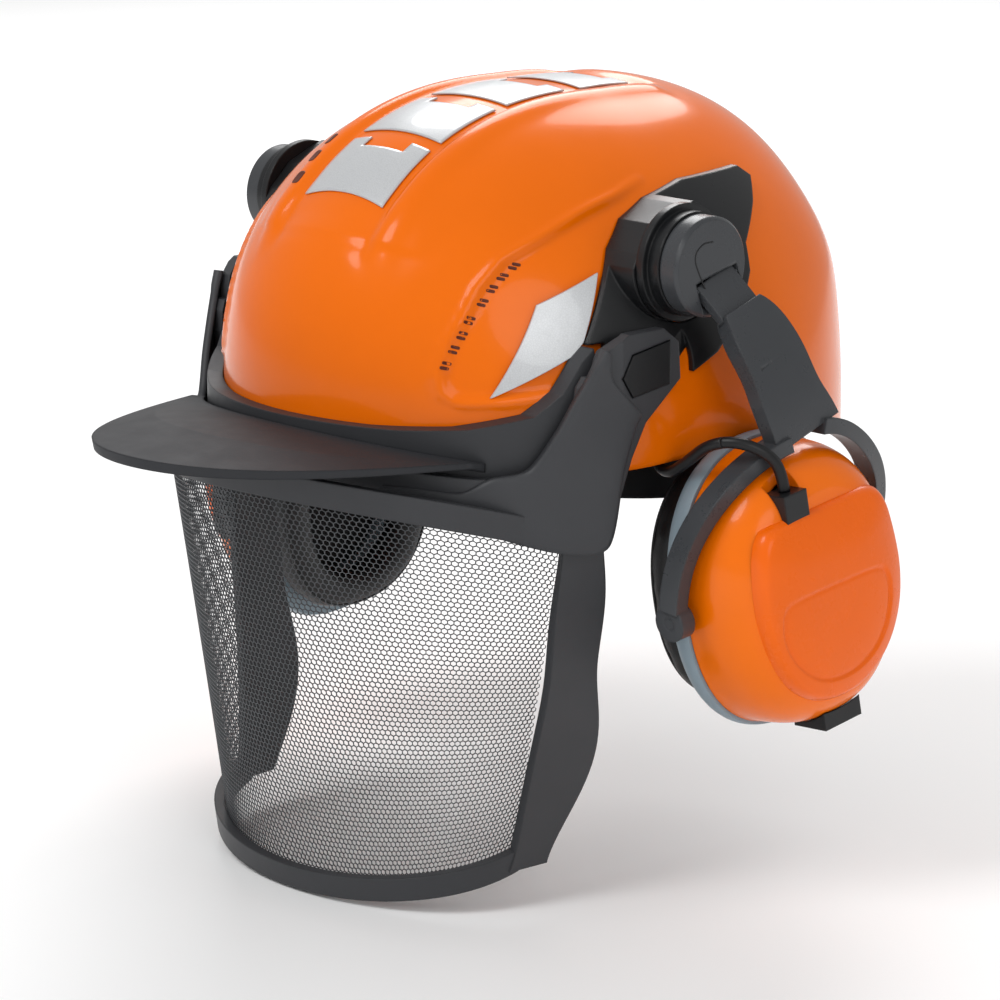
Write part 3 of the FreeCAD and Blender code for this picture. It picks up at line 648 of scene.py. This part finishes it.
SIDE_TOP = [(109.8, -71.9, 52.7), (108.7, -74.9, 47.1), (107.3, -77.5, 41.3), (104.9, -81.2, 34.1),
            (101.2, -86.7, 22.5), (94.5, -94.3, 8.8), (85.3, -104.6, 5.6), (76.9, -111.7, 0.5),
            (66.0, -119.9, 1.4), (53.0, -127.7, 2.0), (36.0, -134.7, 1.3)]
SIDE_LOW = [(110.4, -69.5, 51.7), (110.9, -68.3, 40.5), (112.3, -55.4, 27.0), (112.3, -57.4, 22.7),
            (112.4, -63.9, 7.2), (110.3, -69.9, -21.5), (100.0, -87.9, -22.0), (76.8, -111.6, -13.0),
            (66.0, -119.9, -10.2), (52.9, -127.7, -7.8), (36.0, -134.7, -6.2)]
SIDE_STATIONS = 130
SIDE_RISE = 1.3


def along_points(points, count):
    """Evenly numbered points on a smooth curve through the given ones."""
    points = np.array(points, float)
    slopes = np.gradient(points, axis=0)
    at = np.linspace(0, len(points) - 1, count)
    i = np.minimum(at.astype(int), len(points) - 2)
    t = (at - i)[:, None]
    return ((2 * t ** 3 - 3 * t ** 2 + 1) * points[i] + (t ** 3 - 2 * t ** 2 + t) * slopes[i] * 0.8
            + (3 * t ** 2 - 2 * t ** 3) * points[i + 1] + (t ** 3 - t ** 2) * slopes[i + 1] * 0.8)


def make_visor_sides():
    """Smooth outer faces of the visor where each arm sweeps down into the beam and the post."""
    for side_name, side in SIDES:
        top, low = along_points(SIDE_TOP, SIDE_STATIONS), along_points(SIDE_LOW, SIDE_STATIONS)
        rows = []
        for a, b, along in zip(top, low, np.linspace(0, 1, SIDE_STATIONS)):
            row = []
            taper = 1 - smooth_step(0.6, 1.0, along)
            for share in np.linspace(0, 1, 25):
                p = a + (b - a) * share
                rise = SIDE_RISE * (1 - abs(2 * share - 1) ** 5) * taper
                row.append(np.array([(p[0] + 0.4 * taper + rise) * side, p[1] - rise * 0.3, p[2]]))
            inward = np.array([-3.2 * side, 1.0, 0])
            rows.append([row[0] + inward] + row + [row[-1] + inward])
        verts, faces = grid(rows)
        piece = to_object("visor_side_" + side_name, verts, faces)
        modifier(piece, "SOLIDIFY", thickness=0.0008, offset=-1)
        with_material(piece, "visor_grey")
        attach(piece, "visor")


# ---------------------------------------------------------------- ear cups
CUP_CENTRE = np.array([119.0, 0, -43.0])
CUP_TILT = math.radians(-4)
CUP_ROLL = math.radians(8)
LINK_TOP = np.array([118.4, -25.2, 74.6])
LINK_END = np.array([137.6, -13.9, 48.0])
SLIDE_AXIS = unit(LINK_END - LINK_TOP)
RIGHT_SLIDE = 13.0
OVAL_POWER = 0.88
CLOTH_FRAMES = 20
CUSHION = [(26.5, 35.5, -2), (25, 34, -8), (26, 35, -14), (29.5, 37.8, -17), (34, 41.6, -18.2),
           (38.5, 46, -16.6), (41.8, 49, -12.5), (42.8, 50, -7), (41.8, 49, -2.6), (38, 45.6, -1.2),
           (32, 40.5, -1.2)]


def cup_point(p, side):
    """Point of a cup's own frame (out, back, up) in the helmet's frame."""
    x, y, z = p
    tilt_cos, tilt_sin = math.cos(CUP_TILT), math.sin(CUP_TILT)
    roll_cos, roll_sin = math.cos(CUP_ROLL), math.sin(CUP_ROLL)
    x, z = x * tilt_cos + z * tilt_sin, -x * tilt_sin + z * tilt_cos
    y, z = y * roll_cos - z * roll_sin, y * roll_sin + z * roll_cos
    out = np.array([x, y, z]) + CUP_CENTRE
    if side < 0:
        out = np.array([-out[0], out[1], out[2]]) + SLIDE_AXIS * np.array([-1, 1, 1]) * RIGHT_SLIDE
    return out


def oval(x, half_width, half_height, count=72):
    row = []
    for i in range(count):
        a = 2 * math.pi * i / count
        row.append(np.array([x, half_width * power(math.cos(a), OVAL_POWER),
                             half_height * power(math.sin(a), OVAL_POWER)]))
    return row


def applied(piece):
    """Replaces a piece's mesh with its modified one."""
    graph = bpy.context.evaluated_depsgraph_get()
    mesh = bpy.data.meshes.new_from_object(piece.evaluated_get(graph))
    piece.modifiers.clear()
    piece.data = mesh
    return piece


def inflate(piece, voxel, pressure, cap):
    """Cloth under pressure, moved no more than cap metres, then smoothed."""
    modifier(piece, "REMESH", mode="VOXEL", voxel_size=voxel)
    applied(piece)
    before = np.array([v.co[:] for v in piece.data.vertices])
    cloth = modifier(piece, "CLOTH")
    cloth.settings.quality = 5
    cloth.settings.use_pressure = True
    cloth.settings.uniform_pressure_force = pressure
    cloth.settings.tension_stiffness = 15
    cloth.settings.bending_stiffness = 0.6
    cloth.settings.effector_weights.gravity = 0
    cloth.point_cache.frame_start = 1
    cloth.point_cache.frame_end = CLOTH_FRAMES
    for number in range(1, CLOTH_FRAMES + 1):
        bpy.context.scene.frame_set(number)
    applied(piece)
    after = np.array([v.co[:] for v in piece.data.vertices])
    move = after - before
    length = np.linalg.norm(move, axis=1, keepdims=True)
    after = before + move * np.minimum(1, cap / np.maximum(length, 1e-9))
    piece.data.vertices.foreach_set("co", after.ravel())
    bpy.context.scene.frame_set(1)
    modifier(piece, "SMOOTH", factor=0.5, iterations=3)
    modifier(piece, "SUBSURF", levels=1, render_levels=1)
    applied(piece)
    for polygon in piece.data.polygons:
        polygon.use_smooth = True
    return piece


def make_cushion(side_name, side):
    """Ring cushion: a crowned tube with a seam round its outside."""
    rows = [[cup_point(p, side) for p in oval(x, width, height)] for width, height, x in CUSHION]
    verts, faces = grid(rows, True, True)
    piece = to_object("cushion_pad_" + side_name, verts, faces)
    inflate(piece, 0.0045, 4.0, 0.0022)
    wrinkle(piece, 0.0005)
    with_material(piece, "cushion_black")
    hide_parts("ear_cushion_" + side_name)
    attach(piece, "cup_" + side_name)
    line = [cup_point(p, side) for p in oval(-14.4, 39.7, 46.9, 96)]
    seam = piping("cushion_seam_" + side_name, line, 0.55)
    with_material(seam, "cushion_black")
    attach(seam, "cup_" + side_name)


PANEL = [(-38, 0), (-37.2, 16), (-34, 28.5), (-27, 33.1), (0, 33.4), (25, 33.1), (32.5, 28), (35.5, 14),
         (36.8, -2), (33.5, -18), (24, -32), (10, -40), (-4, -42), (-18, -39), (-29, -30), (-35.5, -16)]
BADGE = [(-32.5, -8), (-31.5, 1), (-26.5, 4.6), (0, 4.2), (20, 3.6), (25.5, 0), (26.5, -10), (21, -23),
         (10, -31), (-4, -33.5), (-17, -31), (-26.5, -23), (-31, -15)]


def round_outline(points, count):
    """Closed smooth curve near a loop of (y, z) points, its corners cut once."""
    loop = np.array(points, float)
    for _ in range(3):
        ahead = np.roll(loop, -1, 0)
        loop = np.stack([loop * 0.75 + ahead * 0.25, loop * 0.25 + ahead * 0.75], 1).reshape(-1, 2)
    gaps = np.linalg.norm(np.roll(loop, -1, 0) - loop, axis=1)
    along = np.concatenate([[0], np.cumsum(gaps)])
    closed = np.vstack([loop, loop[:1]])
    at = np.linspace(0, along[-1], count, endpoint=False)
    return np.stack([np.interp(at, along, closed[:, k]) for k in (0, 1)], 1)


def inside_depth(points, outline):
    """Signed distance of (y, z) points into an outline, positive inside."""
    best = np.full(len(points), 1e9)
    inside = np.zeros(len(points), bool)
    for a, b in zip(outline, np.roll(outline, -1, 0)):
        t = np.clip(((points - a) @ (b - a)) / ((b - a) @ (b - a)), 0, 1)
        best = np.minimum(best, np.linalg.norm(points - (a + t[:, None] * (b - a)), axis=1))
        crosses = (a[1] > points[:, 1]) != (b[1] > points[:, 1])
        if b[1] != a[1]:
            inside ^= crosses & (points[:, 0] < (b[0] - a[0]) * (points[:, 1] - a[1]) / (b[1] - a[1]) + a[0])
    return np.where(inside, best, -best)


def make_cover(side_name, side):
    """Raised outer panel of the cup, with a shallow plain recess in its lower half."""
    outline = round_outline(PANEL, 200)
    recess = round_outline(BADGE, 120)
    middle = np.array([-1.0, -4.5])
    rows = []
    for share in np.concatenate([np.linspace(0.01, 0.9, 74), np.linspace(0.915, 1, 12)]):
        flat = middle + (outline - middle) * share
        x = 46.3 - 4.6 * share ** 4 - 2.4 * max(0.0, (share - 0.93) / 0.07) ** 2.5
        depth = inside_depth(flat, recess)
        x = x - 0.75 * smooth_step(-0.5, 0.7, depth) - 0.25 * np.exp(-((depth - 0.9) / 0.7) ** 2)
        rows.append([cup_point((px, p[0], p[1]), side) for px, p in zip(x, flat)])
    for x, grow in ((37.6, 0.3), (35.5, 0.2)):
        wider = 1 + grow / 60
        rows.append([cup_point((x, p[0] * wider, p[1] * wider), side) for p in outline])
    verts, faces = grid(rows, False, True)
    faces.append(tuple(range(200)))
    piece = with_material(to_object("cup_panel_" + side_name, verts, faces), "cover_orange")
    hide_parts("cup_cover_" + side_name)
    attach(piece, "cup_" + side_name)


def wrinkle(piece, depth):
    """Soft uneven creases pressed into a stuffed piece."""
    normals = [v.normal.copy() for v in piece.data.vertices]
    for vertex, normal in zip(piece.data.vertices, normals):
        value = noise.noise(vertex.co * 95) + 0.5 * noise.noise(vertex.co * 210)
        vertex.co += normal * value * depth


def piping(name, line, radius, closed=True):
    """Round cord mesh along a closed line of points in millimetres."""
    rows = []
    count = len(line)
    for i, point in enumerate(line):
        ahead, behind = line[(i + 1) % count], line[i - 1]
        if not closed:
            ahead, behind = line[min(i + 1, count - 1)], line[max(i - 1, 0)]
        along = unit(ahead - behind)
        side = unit(np.cross(along, np.array([1.0, 0.02, 0.03])))
        up = np.cross(side, along)
        rows.append([point + (side * math.cos(a) + up * math.sin(a)) * radius for a in turns(10)])
    verts, faces = grid(rows, closed, True)
    return to_object(name, verts, faces)


FOAM_WIDTH, FOAM_HEIGHT = 28.4, 37.4


def make_foam(side_name, side):
    """Foam lining: a dished pad with moulded ribs."""
    rows = []
    for k in range(15):
        s = 1 - k / 15
        x = 6.0 - 2.2 * math.cos(s * math.pi / 2) + 0.5 * math.cos(s * 26)
        ring = oval(0, FOAM_WIDTH * s, FOAM_HEIGHT * s, 48)
        rows.append([cup_point((2 + (x - 2) * 0.4, p[1], p[2]), side) for p in ring])
    back = [cup_point(p, side) for p in oval(6.2, FOAM_WIDTH, FOAM_HEIGHT, 48)]
    verts, faces = grid([back] + rows, False, True)
    close_ends(verts, faces, 48)
    piece = to_object("foam_pad_" + side_name, verts, faces)
    modifier(piece, "SUBSURF", levels=1, render_levels=1)
    with_material(piece, "foam_grey")
    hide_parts("foam_insert_" + side_name)
    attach(piece, "cup_" + side_name)


# ------------------------------------------------------------------ harness
HEAD_RADIUS, HEAD_CENTRE_Y, HEAD_FRONT = 80.0, 18.0, 116.0


def head_point(phi, outward, z):
    length = HEAD_FRONT if math.cos(phi) > 0 else HEAD_RADIUS
    radius = ((math.sin(phi) / HEAD_RADIUS) ** 2 + (math.cos(phi) / length) ** 2) ** -0.5 + outward
    return np.array([radius * math.sin(phi), HEAD_CENTRE_Y - radius * math.cos(phi), z])


def band_low(phi):
    return -20 + 14 * max(0.0, math.cos(phi)) ** 2


def pad_along_head(name, node_name, start, end, count, section):
    """Stuffed strip along the headband; section gives (outward, height) points."""
    rows = []
    for i in range(count):
        phi = math.radians(start + (end - start) * i / (count - 1))
        rows.append([head_point(phi, r, z) for r, z in section(phi, i / (count - 1))])
    verts, faces = grid(rows, False, True)
    close_ends(verts, faces, len(rows[0]))
    piece = to_object(name, verts, faces)
    inflate(piece, 0.0022, 3.0, 0.0008)
    wrinkle(piece, 0.0003)
    with_material(piece, "sweatband_fabric")
    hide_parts(node_name)
    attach(piece, "shell")


def strip_section(inner, outer, low, high):
    """Closed rounded section of a flat pad."""
    points = []
    for i in range(20):
        a = 2 * math.pi * i / 20
        points.append(((inner + outer) / 2 + (outer - inner) / 2 * power(math.cos(a), 0.6),
                       (low + high) / 2 + (high - low) / 2 * power(math.sin(a), 0.35)))
    return points


CROWN_PAD = [(1, 86.4), (12, 86.3), (19, 86.5), (21.4, 87.6), (21.6, 88.8), (20, 90.2), (12, 90.6),
             (1, 90.7)]


def make_pads():
    def sweat(phi, t):
        rib = 0.5 * math.cos(t * 60)
        return strip_section(-4.1 + rib * 0.5, -0.6, band_low(phi) + 1.6, 19.4 + 5 * max(0.0, math.cos(phi)))

    def nape(phi, t):
        taper = 3 * abs(2 * t - 1) ** 4
        return strip_section(-3.3 + 0.3 * math.cos(t * 40), 0.3, -29.5 + taper, -0.5 - taper)

    pad_along_head("sweatband_pad", "sweatband", -77, 77, 90, sweat)
    pad_along_head("nape_cushion", "nape_pad", 161, 199, 40, nape)
    rows = []
    for r, z in CROWN_PAD:
        rows.append([np.array([r * math.cos(a), HEAD_CENTRE_Y + r * math.sin(a),
                               z - 0.25 * math.cos(6 * a) * (r / 22)]) for a in turns(48)])
    verts, faces = grid(rows, False, True)
    close_ends(verts, faces, 48)
    piece = to_object("crown_cushion", verts, faces)
    inflate(piece, 0.002, 2.0, 0.0006)
    with_material(piece, "sweatband_fabric")
    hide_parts("crown_pad")
    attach(piece, "shell")


def cradle(phi, rise, outward):
    edge = head_point(phi, 4.2, 0) - np.array([0, HEAD_CENTRE_Y, 0])
    length = np.linalg.norm(edge)
    reach = (length * math.cos(rise) + outward) / length
    return np.array([edge[0] * reach, HEAD_CENTRE_Y + edge[1] * reach, 29 + (66 + outward) * math.sin(rise)])


STRAP_SECTION = [(-8.8, 0), (-8.8, 1.0), (-7.2, 1.05), (-6.4, 0.75), (6.4, 0.75), (7.2, 1.05), (8.8, 1.0),
                 (8.8, 0), (0, 0.0)]


def make_straps():
    """Three webbing straps over the head, with thick sewn edges."""
    for number, angle in enumerate((35, 90, 145)):
        phi = math.radians(angle)
        across = np.array([math.cos(phi), math.sin(phi), 0])
        rows = []
        for i in range(81):
            climb = math.radians(-5 + 190 * i / 80)
            flip = phi if climb <= math.pi / 2 else phi + math.pi
            rise = climb if climb <= math.pi / 2 else math.pi - climb
            centre = cradle(flip, rise, 0.1 + 0.42 * number * (rise > 1.2))
            out = cradle(flip, rise, 1.1) - cradle(flip, rise, 0.1)
            rows.append([centre + across * w + out * t * 0.62 for w, t in STRAP_SECTION])
        verts, faces = grid(rows, False, True)
        close_ends(verts, faces, len(STRAP_SECTION))
        piece = with_material(to_object("crown_strap_%d" % (number + 1), verts, faces), "strap_webbing")
        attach(piece, "shell")
        if number == 0:
            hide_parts("crown_straps")


# -------------------------------------------------------------------- cables
CABLE_ROUTE = [(152.48, -21.05, -1.04), (151.9, -22.2, 7.2), (149.6, -27.8, 14.2), (141.6, -35.0, 18.2),
               (130.6, -38.4, 15.8), (119.6, -38.0, 7.4), (109.4, -37.4, 0.6), (98.6, -33.4, 2.6),
               (95.2, -23.4, 10.6), (103.0, -11.0, 14.0), (103.0, -2.05, 14.0)]
CABLE_CUTS = (3, 6)
LEAD_RADIUS = 2.2


def route_of(side):
    route = []
    for index, point in enumerate(CABLE_ROUTE):
        share = max(0.0, min(1.0, (7 - index) / 4)) if side < 0 else 0.0
        p = np.array(point, float) + SLIDE_AXIS * RIGHT_SLIDE * share
        route.append(np.array([p[0] * side, p[1], p[2]]))
    return route


def cord_curve(name, points, radius):
    data = bpy.data.curves.new(name, "CURVE")
    data.dimensions = "3D"
    spline = data.splines.new("NURBS")
    spline.points.add(len(points) - 1)
    for slot_point, p in zip(spline.points, points):
        slot_point.co = (p[0] * MM, p[1] * MM, p[2] * MM, 1)
    spline.order_u = 3
    spline.use_endpoint_u = True
    spline.resolution_u = 12
    data.bevel_depth = radius * MM
    data.bevel_resolution = 6
    data.use_fill_caps = True
    made = bpy.data.objects.new(name, data)
    bpy.context.collection.objects.link(made)
    return made


def centreline(curve):
    """Points along a curve's own line, in metres."""
    depth = curve.data.bevel_depth
    curve.data.bevel_depth = 0
    caps = curve.data.use_fill_caps
    graph = bpy.context.evaluated_depsgraph_get()
    mesh = bpy.data.meshes.new_from_object(curve.evaluated_get(graph))
    curve.data.bevel_depth = depth
    curve.data.use_fill_caps = caps
    points = [np.array(v.co[:]) for v in mesh.vertices]
    bpy.data.meshes.remove(mesh)
    return points


def tube_mesh(name, path, radius):
    """Round tube mesh along a path in metres."""
    up = np.array([0.0, 0.0, 1.0])
    rows = []
    for i, p in enumerate(path):
        along = unit(path[min(i + 1, len(path) - 1)] - path[max(i - 1, 0)])
        side = unit(np.cross(along, up))
        up = np.cross(side, along)
        rows.append([(p + (side * math.cos(a) + up * math.sin(a)) * radius) / MM for a in turns(14)])
    verts, faces = grid(rows, False, True)
    close_ends(verts, faces, 14)
    return to_object(name, verts, faces)


def make_cables():
    """Each free lead, as lengths that meet end to end, one across each joint of the ear defender."""
    for side_name, side in SIDES:
        route = route_of(side)
        cuts = [0] + list(CABLE_CUTS) + [len(route) - 1]
        for index in range(len(cuts) - 1):
            a, b = cuts[index], cuts[index + 1]
            points = route[a + 1:b + 1] if index else route[:b + 1]
            if index:
                points = [(route[a] + route[a + 1]) / 2] + points
            if index < len(cuts) - 2:
                points = points + [(route[b] + route[b + 1]) / 2]
            curve = cord_curve("lead_line", points, LEAD_RADIUS)
            path = centreline(curve)
            bpy.data.objects.remove(curve)
            piece = tube_mesh("lead_%s_%d" % (side_name, index + 1), path, LEAD_RADIUS * MM)
            with_material(piece, "cable_black")
            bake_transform(piece)
            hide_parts("cable_" + side_name)


# ---------------------------------------------------------------- hub caps
GROOVE = [(-27.6, 88.3), (-32.3, 88.1), (-36.0, 85.6), (-36.7, 82.0), (-34.3, 76.5), (-31.0, 70.6)]


def make_grooves():
    """Curved line on the face of each hub cap."""
    for side_name, side in SIDES:
        line = along_points([(121.4 * side, y, z) for y, z in GROOVE], 30)
        piece = with_material(piping("hub_line_" + side_name, list(line), 0.35, False), "button_black")
        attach(piece, "hub_" + side_name)


# --------------------------------------------------------------- CAD nodes
ARM_NODES = ("hub_cap", "swing_link", "ear_arm")


def dress_nodes():
    """Gives every CAD node that stays the material of its own slot, the arms a paler black."""
    slots = {entry["node"]: entry["material_slot"] for entry in frame["record"]["subparts"]}
    for name, obj in NODES.items():
        material = MATERIALS["arm_black" if name.startswith(ARM_NODES) else slots[name]]
        if not obj.material_slots:
            obj.data.materials.append(material)
        for holder in obj.material_slots:
            holder.material = material


# ------------------------------------------------------------ light and floor
def area_light(name, location, size, watts):
    data = bpy.data.lights.new(name, "AREA")
    data.shape = "DISK"
    data.size = size
    data.energy = watts
    light = bpy.data.objects.new(name, data)
    bpy.context.collection.objects.link(light)
    light.location = location
    light.rotation_euler = (Vector(location) - TARGET).to_track_quat("Z", "Y").to_euler()


def make_stage():
    world = bpy.data.worlds.new("studio")
    world.use_nodes = True
    world.node_tree.nodes["Background"].inputs[0].default_value = (1, 1, 1, 1)
    world.node_tree.nodes["Background"].inputs[1].default_value = 0.55
    bpy.context.scene.world = world
    bpy.context.scene.view_settings.view_transform = "Standard"
    floor_z = CAD_BOX[0][2] / MM - 1.0
    size = 3000
    rows = [[(x, y, floor_z) for x in np.linspace(-size, size, 9)] for y in np.linspace(-size, size, 9)]
    verts, faces = grid(rows)
    floor = to_object("floor", verts, faces)
    material, tree, shader = new_material("floor_paper")
    base_color(tree, shader, (0.96, 0.96, 0.96), 0.01, 3)
    shader.inputs["Roughness"].default_value = 0.9
    floor.data.materials.append(material)
    area_light("key", (-0.3, -1.6, 1.7), 1.1, 20)
    area_light("fill", (1.9, -0.9, 0.9), 1.3, 9)
    area_light("back", (-1.5, 1.7, 1.9), 1.9, 46)


MATERIALS = make_materials()
add_camera()
make_cables()
dress_nodes()
make_shell()
make_crown_patches()
make_vents()
make_visor_mesh()
make_visor_sides()
make_grooves()
for side_name, side in SIDES:
    make_cushion(side_name, side)
    make_foam(side_name, side)
    make_cover(side_name, side)
make_pads()
make_straps()
make_stage()
